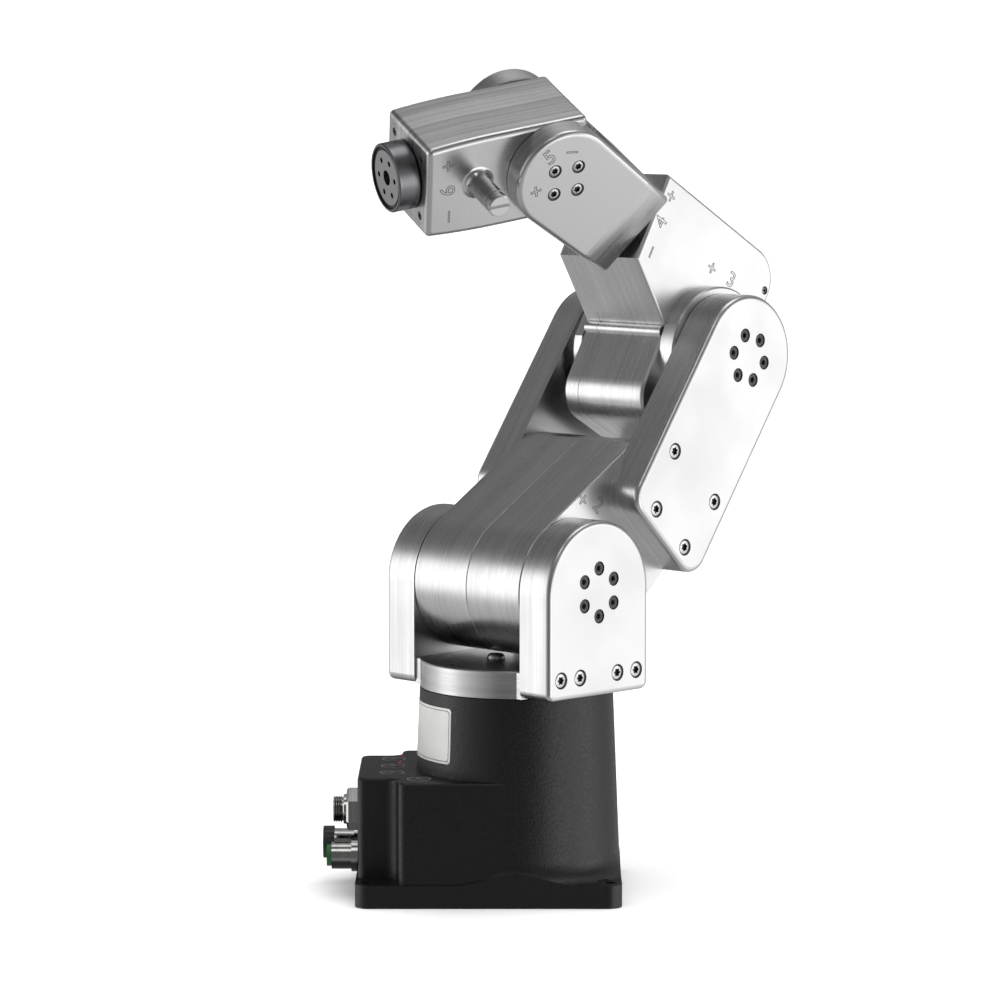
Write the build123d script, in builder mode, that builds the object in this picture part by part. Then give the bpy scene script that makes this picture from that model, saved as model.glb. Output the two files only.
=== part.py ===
from build123d import *
import math
import os

os.makedirs("parts", exist_ok=True)

# Compact six-axis desktop arm on a cast base.
# Origin under the first axis on the bottom of the foot, +Z up, connectors towards -X.
# Each link is drawn standing straight in its own frame, then placed by its joint's plane.

# Resting pose, degrees about each axis in turn
base_turn = -135
shoulder_bend = -45
elbow_bend = 15
wrist_roll = -30
wrist_bend = 45
tool_turn = 15

# Distances between the axes
shoulder_height = 135
upper_length = 135
elbow_rise = 38
forearm_length = 120
flange_reach = 70.5

# Fits shared by every joint
running_fit = 0.05
side_play = 0.3
drive_fit = 0.1

# Heights that follow the shoulder axis
hub_radius = 30.8
hub_gap = 2.4
turntable_thickness = 11.8
turntable_gap = 0.4
turntable_top = shoulder_height - hub_radius - hub_gap
turntable_bottom = turntable_top - turntable_thickness
tower_top = turntable_bottom - turntable_gap

# Foot and tower of the casting
foot_front = 45.2
foot_rear = 69.4
foot_half_width = 46
foot_thickness = 9.9
foot_corner = 6
tower_top_radius = 42.1
tower_foot_radius = 45.3
flare_height = 9
flare_reach = 7
casting_wall = 4.5
tower_web = 12
foot_hole_radius = 2.25
foot_hole_front = 40.2
foot_hole_rear = 64.4
foot_hole_side = 38.5
foot_scoop_radius = 5.6

# Connector box behind the tower
box_top = 53.8
box_rear = 68.6
box_step = 50.8
box_tail_half_width = 30
box_inner_corner = 6
box_outer_corner = 3.5
box_edge = 1.4
box_lap = 1
box_sink = 0.05

# Cover under the base
cover_thickness = 1.8
cover_wall = 3
cover_ledge = 4
cover_screw_turns = [30, 75, -30, -75]
cover_post_radius = 3.6
cover_post_height = 11
cover_post_side = 22
board_length = 44
board_width = 66
board_thickness = 1.6
board_stand = 6
board_stand_inset = 5
board_gap = 3.6
board_stand_radius = 2.5

# Drive unit under the tower's web
base_drive_radius = 33
base_motor_radius = 23
base_drive_depth = 35.6
base_drive_bottom = tower_top - base_drive_depth
base_motor_bottom = 22

# Buttons and lamps on the box
button_radius = 4
button_gap = 0.25
button_travel = 0.6
button_proud = 0.3
button_height = 3.2
button_stem_radius = 1.6
button_spots = [(-54, 19.5), (-54, 2), (-54, -15.5), (-42, -31.5)]
lamp_radius = 0.9
lamp_height = 1.6
lamp_proud = 0.2
lamp_spots = [(-51, 26.5), (-51, 9)]

# Round connectors on the rear wall
connector_bore = 4.7
connector_depth = 7
power_height = 35
power_barrel_radius = 5.8
power_barrel_end = 80
power_collar_radius = 6.5
power_collar_end = 75.6
power_nut_flats = 16.4
power_nut_end = 74.2
network_height = 17.5
network_side = 15.7
network_body_radius = 5.9
network_body_end = 80.2
network_flange_radius = 7
network_flange_end = 71.6
connector_shank_radius = 5.4
connector_shank_length = 8
contact_radius = 0.5
contact_circle = 2.3
contact_length = 4
insert_length = 3
cap_radius = 7.1
cap_length = 4.9
cap_grips = 18
cap_grip_radius = 0.7
seal_wall = 1.1
seal_proud = 2.1

# Turntable and shoulder plates
turntable_radius = 41.9
turntable_lug = 29.7
spindle_radius = 24
spindle_bore = 14
spindle_depth = 30
spindle_bottom = turntable_bottom - spindle_depth
stop_radius = 4
stop_height = 2.1
stop_x = 6.9
stop_y = -5.7
ear_half_width = 30.7
ear_inner = 32.4
ear_outer = 49.8
ear_lift = 0.4
ear_bottom = shoulder_height - turntable_bottom - ear_lift
ear_edge = 2.2
ear_corner = 3.5
ear_screw_lift = 8.9
ear_screw_height = ear_bottom - ear_screw_lift
ear_screw_near = 11.5
ear_screw_far = 23.2

# Upper arm housing and its side plates, clear of the forearm's sole
elbow_sole = 42.3
saddle_gap = 12.7
saddle_drop = 9.6
upper_saddle = upper_length - elbow_sole - saddle_gap
upper_top = upper_saddle - saddle_drop
upper_front_lean = 13.3
upper_rear = 40
upper_rear_knee = 34.2
upper_saddle_front = 5
upper_bevel = 0.5
seam_bevel = 0.3
seam_depth = 0.5
plate_outer = 49.6
plate_head_radius = 27.6
plate_lean = 9.8
plate_lift = 41.2
plate_bottom = upper_length - plate_lift
plate_corner = 10
plate_edge = 2.4
saddle_screw_drop = 5.8
rear_screw_rise = 1.2
plate_screw_lift = 7.6
saddle_screw_height = upper_saddle - saddle_screw_drop - upper_length
low_screw_height = plate_screw_lift - plate_bottom
plate_screws = [
    (6.8, saddle_screw_height), (-28.3, saddle_screw_height + rear_screw_rise),
    (-2.2, low_screw_height), (-27.8, low_screw_height),
]

# Stubs that carry the shoulder and elbow, with a ring of socket screws
stub_radius = 15
shoulder_stub_length = 12
stub_screw_circle = 10.3
stub_screw_count = 6
drive_radius = 24

# Forearm housing, collar and yoke along the forearm's length
yoke_rear = 55.7
collar_width = 2.8
roll_drive_sink = 11.2
collar_end = forearm_length - (yoke_rear + side_play)
forearm_front = collar_end - collar_width
forearm_half_width = 23.9
forearm_top = 57.6
forearm_rear = 24.3
forearm_front_bottom = 16
elbow_front = 29.5
forearm_slope_foot = -1.8
forearm_nose_round = 2
ridge_radius = 2.7
ridge_reach = 31.6
ridge_height = -3.5
ridge_end = 1
forearm_sole_radius = 14
forearm_shoulder_radius = 15
forearm_edge = 1.6
boss_radius = 30.6
boss_edge = 0.8
seam_side = 14.9
slab_top = 1.4
right_boss_side = 28.3
right_neck_radius = 24
forearm_screw = (-20.4, 43)

# Forearm roll bearing
roll_drive_radius = 17
roll_drive_rear = 14
roll_drive_front = forearm_front - roll_drive_sink
collar_radius = 18.6
roll_shaft_radius = 12

# Wrist yoke
yoke_rear_half = 25.8
yoke_outer = 31.5
yoke_inner = 20.9
yoke_shoulder = 35.6
yoke_crease = 0.09
yoke_throat = 36.5
yoke_throat_corner = 3
yoke_eye_radius = 23
yoke_rear_height = 21.3
yoke_edge = 2.2
wrist_stub_radius = 11.5
wrist_stub_length = 8
wrist_screw_circle = 7.88
wrist_screw_count = 4

# Wrist box
hand_rear = 15
hand_front = 60.3
hand_half_height = 22.6
hand_nose_height = 20.9
hand_nose_start = 28
hand_edge = 2.4
hand_cover_side = 34
hand_cover_thickness = 2.5
hand_cover_corner = 3
hand_screw_spread = 27
tool_drive_radius = 13
tool_drive_rear = 16
wrist_drive_web = 1
post_x = 36.8
post_z = 1.3
post_radius = 5
post_flare_radius = 9.5
post_flare_length = 5
post_length = 17
post_cap_length = 4.8
post_groove = 0.5
post_slot = 1.5
post_spigot = 3.4

# Tool flange
flange_radius = 15
flange_ring = 13.7
flange_ring_depth = 3
face_plate_radius = 12
face_plate_sink = 0.6
flange_shaft_radius = 9
flange_shaft_length = 8
tool_hole_circle = 8
tool_hole_radius = 1.25
tool_hole_depth = 6
tool_holes = 6
tool_bore = 3.3
tool_bore_depth = 5

# Screws, the first of a ring at its top
ring_start = 90
socket_head_radius = 2.75
socket_head_height = 3
socket_shank_radius = 1.5
socket_shank_length = 19
socket_well = 3.1
socket_well_depth = 3.5
socket_hex = 1.35
plate_head = 3.7
plate_shank = 2
plate_shank_length = 22
wrist_head = 3.1
wrist_shank = 1.5
wrist_shank_length = 15
small_head = 1.9
small_shank = 1
small_shank_length = 6
drive_depth = 1.4
head_gap = 0.5
small_head_gap = 0.2
hex_share = 0.4
hex_depth_share = 0.8
screw_fit = 0.05

# Planes of the joints in the resting pose
shoulder_place = Location((0, 0, shoulder_height), (0, 0, base_turn))
upper_place = shoulder_place * Location((0, 0, 0), (0, shoulder_bend, 0))
elbow_place = upper_place * Location((0, 0, upper_length), (0, elbow_bend, 0))
wrist_place = elbow_place * Location((forearm_length, 0, elbow_rise), (wrist_roll, 0, 0))
hand_place = wrist_place * Location((0, 0, 0), (0, wrist_bend, 0))
tool_place = hand_place * Location((flange_reach, 0, 0), (tool_turn, 0, 0))
SHOULDER = Plane(shoulder_place)
UPPER = Plane(upper_place)
ELBOW = Plane(elbow_place)
WRIST = Plane(wrist_place)
HAND = Plane(hand_place)


def finish(name, piece, frame=Plane.XY):
    """Place a piece by its joint's plane, name it and write it out."""
    with BuildPart(frame) as node:
        add(piece)
    node.part.label = name
    export_step(node.part, f"parts/{name}.step")


def left_twin(piece):
    """The left-hand copy of a piece drawn on the right-hand side."""
    with BuildPart() as twin:
        mirror(piece, about=Plane.XZ)
    return twin.part


def right_face(side):
    """Plane on the right-hand side, facing out, with X forward and Y up."""
    return Plane.XZ.offset(side)


def ring_spots(circle, count, start=ring_start):
    """Places spaced evenly round a circle."""
    turns = [math.radians(start + 360 * i / count) for i in range(count)]
    return [(circle * math.cos(a), circle * math.sin(a)) for a in turns]


def socket_screw(shank_length):
    """Socket head screw, its head's top at the origin and its shank pointing down."""
    with BuildPart() as screw:
        Cylinder(
            socket_head_radius, socket_head_height, align=(Align.CENTER, Align.CENTER, Align.MAX)
        )
        with Locations((0, 0, -socket_head_height)):
            Cylinder(
                socket_shank_radius - screw_fit,
                shank_length,
                align=(Align.CENTER, Align.CENTER, Align.MAX),
            )
        with BuildSketch():
            RegularPolygon(socket_hex, 6)
        extrude(amount=-drive_depth, mode=Mode.SUBTRACT)
    return screw.part


def flat_screw(head, shank, shank_length, gap):
    """Countersunk screw set below a face at the origin by a gap, its shank pointing down."""
    rim = head - gap - screw_fit
    with BuildPart() as screw:
        with BuildSketch(Plane.XZ):
            with BuildLine():
                Polyline(
                    (0, -gap),
                    (rim, -gap),
                    (shank - screw_fit, shank - head),
                    (shank - screw_fit, -shank_length),
                    (0, -shank_length),
                    close=True,
                )
            make_face()
        revolve(axis=Axis.Z)
        with BuildSketch(Plane.XY.offset(-gap)):
            RegularPolygon(hex_share * head, 6)
        extrude(amount=-hex_depth_share * (head - shank), mode=Mode.SUBTRACT)
    return screw.part


def screw_set(screw, face, spots, depth=0):
    """Copies of one screw, each in from a face at its own spot."""
    with BuildPart() as screws:
        with Locations(face.offset(-depth)):
            with Locations(*spots):
                add(screw)
    return screws.part


def both_sides(right_piece):
    """One node with a right-hand group and its left-hand twin."""
    with BuildPart() as pair:
        add(right_piece)
        mirror(right_piece, about=Plane.XZ)
    return pair.part


# Base casting
board_centre = -box_step + casting_wall + board_gap + board_length / 2
stand_x = board_length / 2 - board_stand_inset
stand_y = board_width / 2 - board_stand_inset
board_corners = [(board_centre + x * stand_x, y * stand_y) for x in (-1, 1) for y in (-1, 1)]
foot_length = foot_front + foot_rear
foot_centre = (foot_front - foot_rear) / 2
foot_holes = [
    (x, y) for x in (foot_hole_front, -foot_hole_rear) for y in (-foot_hole_side, foot_hole_side)
]
flare_top = foot_thickness + flare_height
taper = (tower_foot_radius - tower_top_radius) / (tower_top - foot_thickness)
flare_top_radius = tower_foot_radius - taper * flare_height


def tower_radius(height):
    """Outer radius of the tapered tower at a height."""
    return tower_foot_radius - taper * (height - foot_thickness)


def box_outline(inset):
    """Plan of the connector box, drawn in from its outer faces by an inset."""
    with BuildSketch() as plan:
        for rear, half_width in ((box_step, tower_radius(0)), (box_rear, box_tail_half_width)):
            with Locations((-rear + inset, 0)):
                Rectangle(
                    rear + box_lap - 2 * inset,
                    2 * (half_width - inset),
                    align=(Align.MIN, Align.CENTER),
                )
    return plan.sketch


cover_circle = tower_radius(0) - casting_wall - cover_ledge / 2
cover_post_x = -box_rear + casting_wall + cover_post_radius / 2
cover_posts = [(cover_post_x, side) for side in (-cover_post_side, cover_post_side)]
cover_spots = cover_posts + [
    (cover_circle * math.cos(math.radians(a)), cover_circle * math.sin(math.radians(a)))
    for a in cover_screw_turns
]


def flipped(spots):
    """Spots on a face that looks down, whose own Y points the other way."""
    return [(x, -y) for x, y in spots]


def cover_outline(gap):
    """Plan of the recess for the bottom cover, drawn in by a gap."""
    with BuildSketch() as plan:
        add(box_outline(cover_wall + gap))
        Circle(tower_radius(0) - casting_wall - gap)
    return plan.sketch


with BuildPart() as tower:
    with BuildSketch(Plane.XZ):
        with BuildLine():
            flare_foot = (tower_foot_radius + flare_reach, foot_thickness)
            Polyline(
                flare_foot, (0, foot_thickness), (0, tower_top),
                (tower_top_radius, tower_top), (flare_top_radius, flare_top),
            )
            TangentArc((flare_top_radius, flare_top), flare_foot, tangent=(taper, -1))
        make_face()
    revolve(axis=Axis.Z)
    with BuildSketch():
        with Locations((foot_centre, 0)):
            RectangleRounded(foot_length, 2 * foot_half_width, foot_corner)
    extrude(amount=tower_top, mode=Mode.INTERSECT)
    with Locations(Plane.XY.offset(foot_thickness)):
        with Locations(*foot_holes[:2]):
            Cylinder(
                foot_scoop_radius,
                flare_height,
                align=(Align.CENTER, Align.CENTER, Align.MIN),
                mode=Mode.SUBTRACT,
            )

with BuildPart() as base_casting:
    add(box_outline(0))
    extrude(amount=box_top)
    # The sides of the box lean in with the tower, so they run into it without an edge
    with BuildSketch(Plane.YZ):
        with BuildLine() as box_end:
            Polyline(
                (0, 0), (tower_radius(0) - box_sink, 0), (tower_radius(box_top) - box_sink, box_top),
                (0, box_top),
            )
            mirror(box_end.line, about=Plane.YZ)
        make_face()
    extrude(amount=box_rear, both=True, mode=Mode.INTERSECT)
    uprights = base_casting.edges().filter_by(lambda e: e.bounding_box().size.Z > box_top / 2)
    uprights = uprights.sort_by(Axis.X)[:-2]
    notch = uprights[2:].sort_by(lambda e: abs(e.center().Y))[:2]
    fillet(notch, box_inner_corner)
    uprights = base_casting.edges().filter_by(lambda e: e.bounding_box().size.Z > box_top / 2)
    outer = uprights.filter_by(GeomType.LINE).filter_by(
        lambda e: min(abs(e.center().X + x) for x in (box_rear, box_step)) < 0.1
    )
    fillet(outer, box_outer_corner)
    fillet(base_casting.edges().group_by(Axis.Z)[-1], box_edge)
    add(tower.part)
    with BuildSketch():
        with Locations((foot_centre, 0)):
            RectangleRounded(foot_length, 2 * foot_half_width, foot_corner)
    extrude(amount=foot_thickness)
    # Space inside the tower, open at the bottom, and inside the box
    with BuildSketch(Plane.XZ):
        with BuildLine():
            Polyline(
                (0, 0), (tower_radius(0) - casting_wall - cover_ledge, 0),
                (tower_radius(tower_top - tower_web) - casting_wall, tower_top - tower_web),
                (0, tower_top - tower_web), close=True,
            )
        make_face()
    revolve(axis=Axis.Z, mode=Mode.SUBTRACT)
    add(box_outline(casting_wall))
    extrude(amount=box_top - casting_wall, mode=Mode.SUBTRACT)
    with BuildSketch():
        with Locations(*cover_posts):
            Circle(cover_post_radius)
    extrude(amount=cover_post_height)
    # Seat of the bottom cover and its screw holes
    add(cover_outline(0))
    extrude(amount=cover_thickness, mode=Mode.SUBTRACT)
    with Locations(-Plane.XY.offset(cover_thickness)):
        with Locations(*flipped(cover_spots)):
            Hole(small_shank, small_shank_length)
    # Bore of the turning spindle
    Cylinder(
        spindle_radius + running_fit,
        tower_top,
        align=(Align.CENTER, Align.CENTER, Align.MIN),
        mode=Mode.SUBTRACT,
    )
    with Locations(Plane.XY.offset(foot_thickness)):
        with Locations(*foot_holes):
            Hole(foot_hole_radius, foot_thickness)
    # Wells for the buttons, their stems and the lamps
    with Locations(Plane.XY.offset(box_top)):
        with Locations(*button_spots):
            CounterBoreHole(
                button_stem_radius + button_gap,
                button_radius + button_gap,
                button_height - button_proud + button_travel,
                casting_wall,
            )
        with Locations(*lamp_spots):
            Hole(lamp_radius, lamp_height - lamp_proud)
    # Holes for the connectors in the rear wall
    rear_wall = Plane(origin=(-box_rear, 0, 0), x_dir=(0, -1, 0), z_dir=(-1, 0, 0))
    with Locations(rear_wall):
        with Locations(
            (0, power_height), (network_side, network_height), (-network_side, network_height)
        ):
            Hole(connector_shank_radius, casting_wall)
finish("base_casting", base_casting.part)

with BuildPart() as base_cover:
    add(cover_outline(side_play))
    extrude(amount=cover_thickness)
    with BuildSketch(Plane.XY.offset(cover_thickness)):
        with Locations(*board_corners):
            Circle(board_stand_radius)
    extrude(amount=board_stand)
    with Locations(-Plane.XY):
        with Locations(*flipped(cover_spots)):
            CounterSinkHole(small_shank, small_head, cover_thickness, 90)
finish("base_bottom_cover", base_cover.part)

small_screw = flat_screw(small_head, small_shank, small_shank_length, small_head_gap)
cover_screws = screw_set(small_screw, -Plane.XY, flipped(cover_spots))
finish("bottom_cover_screws", cover_screws)

with BuildPart() as controller_board:
    with BuildSketch(Plane.XY.offset(cover_thickness + board_stand)):
        with Locations((board_centre, 0)):
            RectangleRounded(board_length, board_width, board_stand_radius)
    extrude(amount=board_thickness)
finish("controller_board", controller_board.part)

# Drive of the first axis, hung under the web round the spindle
with BuildPart() as base_drive:
    with BuildSketch(Plane.XZ):
        with BuildLine():
            Polyline(
                (0, base_motor_bottom), (base_motor_radius, base_motor_bottom),
                (base_motor_radius, base_drive_bottom), (base_drive_radius, base_drive_bottom),
                (base_drive_radius, tower_top - tower_web),
                (spindle_radius + side_play, tower_top - tower_web),
                (spindle_radius + side_play, spindle_bottom - side_play),
                (0, spindle_bottom - side_play), close=True,
            )
        make_face()
    revolve(axis=Axis.Z)
finish("base_drive", base_drive.part)

# Buttons and lamps
with BuildPart() as button:
    Cylinder(button_radius, button_height, align=(Align.CENTER, Align.CENTER, Align.MAX))
    fillet(button.edges().group_by(Axis.Z)[-1], button_gap)
    Cylinder(
        button_stem_radius, button_height + casting_wall / 2,
        align=(Align.CENTER, Align.CENTER, Align.MAX),
    )
for number, (x, y) in enumerate(button_spots, start=1):
    finish(f"panel_button_{number}", button.part, Plane((x, y, box_top + button_proud)))

with BuildPart() as lamps:
    with Locations(Plane.XY.offset(box_top + lamp_proud)):
        with Locations(*lamp_spots):
            Cylinder(
                lamp_radius - screw_fit, lamp_height,
                align=(Align.CENTER, Align.CENTER, Align.MAX),
            )
finish("panel_lamps", lamps.part)


# Connectors, drawn standing up from the rear wall
def connector_plane(side, height):
    """Plane on the rear wall at a connector, facing out."""
    return Plane(origin=(-box_rear, side, height), x_dir=(0, -1, 0), z_dir=(-1, 0, 0))


def connector_shell(steps):
    """Round shell with a shank through the wall and steps of radius and end height."""
    inside = connector_shank_radius - screw_fit
    path = [(0, -connector_shank_length), (inside, -connector_shank_length), (inside, 0)]
    start = 0
    for radius, end in steps:
        path += [(radius, start), (radius, end)]
        start = end
    path += [
        (connector_bore, start), (connector_bore, start - connector_depth),
        (0, start - connector_depth),
    ]
    with BuildPart() as shell:
        with BuildSketch(Plane.XZ):
            with BuildLine():
                Polyline(*path, close=True)
            make_face()
        revolve(axis=Axis.Z)
    return shell.part


def connector_insert(end):
    """Insulating disc with four contact pins, seated in the bottom of a shell."""
    with BuildPart() as insert:
        with Locations((0, 0, end - connector_depth)):
            Cylinder(
                connector_bore - screw_fit, insert_length,
                align=(Align.CENTER, Align.CENTER, Align.MIN),
            )
        with BuildSketch(Plane.XY.offset(end - connector_depth + insert_length)):
            with Locations(*ring_spots(contact_circle, 4, 45)):
                Circle(contact_radius)
        extrude(amount=contact_length - screw_fit)
    return insert.part


power_nut_top = power_nut_end - box_rear
power_end = power_barrel_end - box_rear
network_end = network_body_end - box_rear
POWER = connector_plane(0, power_height)
with BuildPart() as power_nut:
    with BuildSketch():
        RegularPolygon(power_nut_flats / 2, 6, major_radius=False, rotation=30)
        Circle(power_barrel_radius, mode=Mode.SUBTRACT)
    extrude(amount=power_nut_top)
    chamfer(power_nut.edges().group_by(Axis.Z)[-1].filter_by(GeomType.LINE), lamp_radius)
finish("power_connector_nut", power_nut.part, POWER)
power_steps = [
    (power_barrel_radius - screw_fit, power_nut_top),
    (power_collar_radius, power_collar_end - box_rear),
    (power_barrel_radius, power_end),
]
finish("power_connector_shell", connector_shell(power_steps), POWER)
finish("power_connector_insert", connector_insert(power_end), POWER)

network_steps = [
    (network_flange_radius, network_flange_end - box_rear),
    (network_body_radius, network_end),
]
for hand_name, side in (("right", -network_side), ("left", network_side)):
    NETWORK = connector_plane(side, network_height)
    finish(f"{hand_name}_network_shell", connector_shell(network_steps), NETWORK)
    finish(f"{hand_name}_network_insert", connector_insert(network_end), NETWORK)

with BuildPart() as seal:
    with BuildSketch(Plane.XY.offset(network_end - connector_depth + insert_length)):
        Circle(connector_bore - screw_fit)
        Circle(connector_bore - seal_wall, mode=Mode.SUBTRACT)
    extrude(amount=connector_depth - insert_length + seal_proud)
finish("right_network_seal", seal.part, connector_plane(-network_side, network_height))

with BuildPart() as cap:
    with BuildSketch(Plane.XY.offset(network_end)):
        Circle(cap_radius)
        with PolarLocations(cap_radius + cap_grip_radius / 2, cap_grips):
            Circle(cap_grip_radius, mode=Mode.SUBTRACT)
    extrude(amount=cap_length)
finish("left_network_cap", cap.part, connector_plane(network_side, network_height))

# Turntable and spindle, which turn on the tower
turntable_low = turntable_bottom - shoulder_height
turntable_high = turntable_top - shoulder_height
ear_thickness = ear_outer - ear_inner
ear_spots = [
    (x, -ear_screw_height)
    for x in (-ear_screw_far, -ear_screw_near, ear_screw_near, ear_screw_far)
]
with BuildPart() as turntable:
    with BuildSketch(Plane.XY.offset(turntable_low)):
        Circle(turntable_radius)
        Rectangle(2 * turntable_radius, 2 * ear_inner, mode=Mode.INTERSECT)
        Rectangle(2 * turntable_lug, 2 * ear_inner)
    extrude(amount=turntable_high - turntable_low)
    chamfer(turntable.faces().sort_by(Axis.Z)[-1].edges(), upper_bevel)
    for face in (right_face(ear_inner), -right_face(-ear_inner)):
        with Locations(face):
            with Locations(*(ear_spots if face.z_dir.Y < 0 else flipped(ear_spots))):
                Hole(plate_shank, plate_shank_length - ear_thickness + drive_fit)
finish("turntable", turntable.part, SHOULDER)

with BuildPart() as spindle:
    with BuildSketch(Plane.XY.offset(spindle_bottom - shoulder_height)):
        Circle(spindle_radius)
        Circle(spindle_bore, mode=Mode.SUBTRACT)
    extrude(amount=turntable_bottom - spindle_bottom)
finish("turntable_spindle", spindle.part, SHOULDER)

with BuildPart() as stop:
    with Locations((stop_x, stop_y, turntable_high)):
        Cylinder(stop_radius, stop_height, align=(Align.CENTER, Align.CENTER, Align.MIN))
    fillet(stop.edges().group_by(Axis.Z)[-1], stop_height * 0.9)
finish("turntable_stop", stop.part, SHOULDER)

# Shoulder plates either side of the hub
stub_spots = ring_spots(stub_screw_circle, stub_screw_count)
with BuildPart() as ear:
    with BuildSketch(right_face(ear_outer)) as ear_face:
        Rectangle(2 * ear_half_width, ear_bottom, align=(Align.CENTER, Align.MAX))
        fillet(ear_face.vertices().group_by(Axis.Y)[0], ear_corner)
        Circle(ear_half_width)
    extrude(amount=-ear_thickness)
    fillet(ear.faces().sort_by(Axis.Y)[0].edges(), ear_edge)
    with Locations(right_face(ear_outer)):
        with Locations(*stub_spots):
            CounterBoreHole(socket_shank_radius, socket_well, socket_well_depth, ear_thickness)
        with Locations(*ear_spots):
            CounterSinkHole(plate_shank, plate_head, ear_thickness, 90)
finish("right_shoulder_plate", ear.part, SHOULDER)
finish("left_shoulder_plate", left_twin(ear.part), SHOULDER)


def stub(face_side, length, radius, spots, hole_radius, hole_depth):
    """Round stub that a moving link turns on, tapped for the screws that hold it."""
    with BuildPart() as piece:
        with BuildSketch(right_face(face_side)):
            Circle(radius)
        extrude(amount=-length)
        with Locations(right_face(face_side)):
            with Locations(*spots):
                Hole(hole_radius, hole_depth)
    return piece.part


socket_reach = socket_shank_length + drive_fit
ear_stub_hole = socket_reach + socket_well_depth - ear_thickness
shoulder_stub = stub(
    ear_inner, shoulder_stub_length, stub_radius, stub_spots, socket_shank_radius, ear_stub_hole
)
finish("right_shoulder_stub", shoulder_stub, SHOULDER)
finish("left_shoulder_stub", left_twin(shoulder_stub), SHOULDER)

plate_screw = flat_screw(plate_head, plate_shank, plate_shank_length, head_gap)
hub_screw = socket_screw(socket_shank_length)
screw_sink = socket_well_depth - socket_head_height
finish(
    "shoulder_plate_screws",
    both_sides(screw_set(plate_screw, right_face(ear_outer), ear_spots)),
    SHOULDER,
)
finish(
    "shoulder_stub_screws",
    both_sides(screw_set(hub_screw, right_face(ear_outer), stub_spots, screw_sink)),
    SHOULDER,
)

# Upper arm housing, split in two halves down the middle
hub_half = ear_inner - side_play
shoulder_drive_half = hub_half - shoulder_stub_length
lean = math.radians(upper_front_lean)
front_touch = (hub_radius * math.cos(lean), hub_radius * math.sin(lean))
rear_touch = (-front_touch[0], -front_touch[1])
upper_front = front_touch[0] - (upper_top - front_touch[1]) * math.tan(lean)
plate_thickness = plate_outer - hub_half
plate_spots = [(x, upper_length + z) for x, z in plate_screws]
with BuildPart() as upper_half:
    with BuildSketch(right_face(hub_half)):
        with BuildLine():
            Polyline(
                front_touch, (upper_front, upper_top), (upper_saddle_front, upper_saddle),
                (-upper_rear, upper_saddle), (-upper_rear, upper_rear_knee), rear_touch,
                close=True,
            )
        make_face()
        Circle(hub_radius)
    extrude(amount=-hub_half)
    chamfer(upper_half.faces().sort_by(Axis.Y)[0].edges(), upper_bevel)
    chamfer(upper_half.faces().sort_by(Axis.Y)[-1].edges(), seam_bevel)
    with BuildSketch(right_face(shoulder_drive_half)):
        Circle(drive_radius)
    extrude(amount=-shoulder_drive_half, mode=Mode.SUBTRACT)
    with Locations(right_face(hub_half)):
        Hole(stub_radius + running_fit, shoulder_stub_length)
        with Locations(*plate_spots):
            Hole(plate_shank, plate_shank_length - plate_thickness + drive_fit)
finish("right_upper_arm_half", upper_half.part, UPPER)
finish("left_upper_arm_half", left_twin(upper_half.part), UPPER)

with BuildPart() as shoulder_drive:
    with BuildSketch(right_face(shoulder_drive_half)):
        Circle(drive_radius - drive_fit)
    extrude(amount=-2 * shoulder_drive_half)
finish("shoulder_drive", shoulder_drive.part, UPPER)

# Side plates that carry the elbow
tilt = math.radians(plate_lean)
head_touch = (plate_head_radius * math.cos(tilt), -plate_head_radius * math.sin(tilt))
plate_front = head_touch[0] - (plate_bottom + head_touch[1]) * math.tan(tilt)
plate_back = -head_touch[0] - (plate_bottom - head_touch[1]) * math.tan(tilt)
elbow_spots = [(x, upper_length + z) for x, z in stub_spots]
with BuildPart() as side_plate:
    with BuildSketch(right_face(plate_outer)) as plate_face:
        with BuildLine():
            Polyline(
                (head_touch[0], upper_length + head_touch[1]),
                (plate_front, upper_length - plate_bottom),
                (plate_back, upper_length - plate_bottom),
                (-head_touch[0], upper_length - head_touch[1]),
                close=True,
            )
        make_face()
        fillet(plate_face.vertices().group_by(Axis.Y)[0], plate_corner)
        with Locations((0, upper_length)):
            Circle(plate_head_radius)
    extrude(amount=-plate_thickness)
    fillet(side_plate.faces().sort_by(Axis.Y)[0].edges(), plate_edge)
    with Locations(right_face(plate_outer)):
        with Locations(*elbow_spots):
            CounterBoreHole(socket_shank_radius, socket_well, socket_well_depth, plate_thickness)
        with Locations(*plate_spots):
            CounterSinkHole(plate_shank, plate_head, plate_thickness, 90)
finish("right_arm_plate", side_plate.part, UPPER)
finish("left_arm_plate", left_twin(side_plate.part), UPPER)
finish(
    "arm_plate_screws",
    both_sides(screw_set(plate_screw, right_face(plate_outer), plate_spots)),
    UPPER,
)
finish(
    "elbow_stub_screws",
    both_sides(screw_set(hub_screw, right_face(plate_outer), elbow_spots, screw_sink)),
    UPPER,
)
ELBOW_AXIS = Plane(upper_place * Location((0, 0, upper_length)))
elbow_stub_length = hub_half - seam_side - side_play
elbow_stub = stub(
    hub_half, elbow_stub_length, stub_radius, stub_spots, socket_shank_radius,
    socket_reach + socket_well_depth - plate_thickness,
)
finish("right_elbow_stub", elbow_stub, ELBOW_AXIS)
finish("left_elbow_stub", left_twin(elbow_stub), ELBOW_AXIS)

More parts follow.
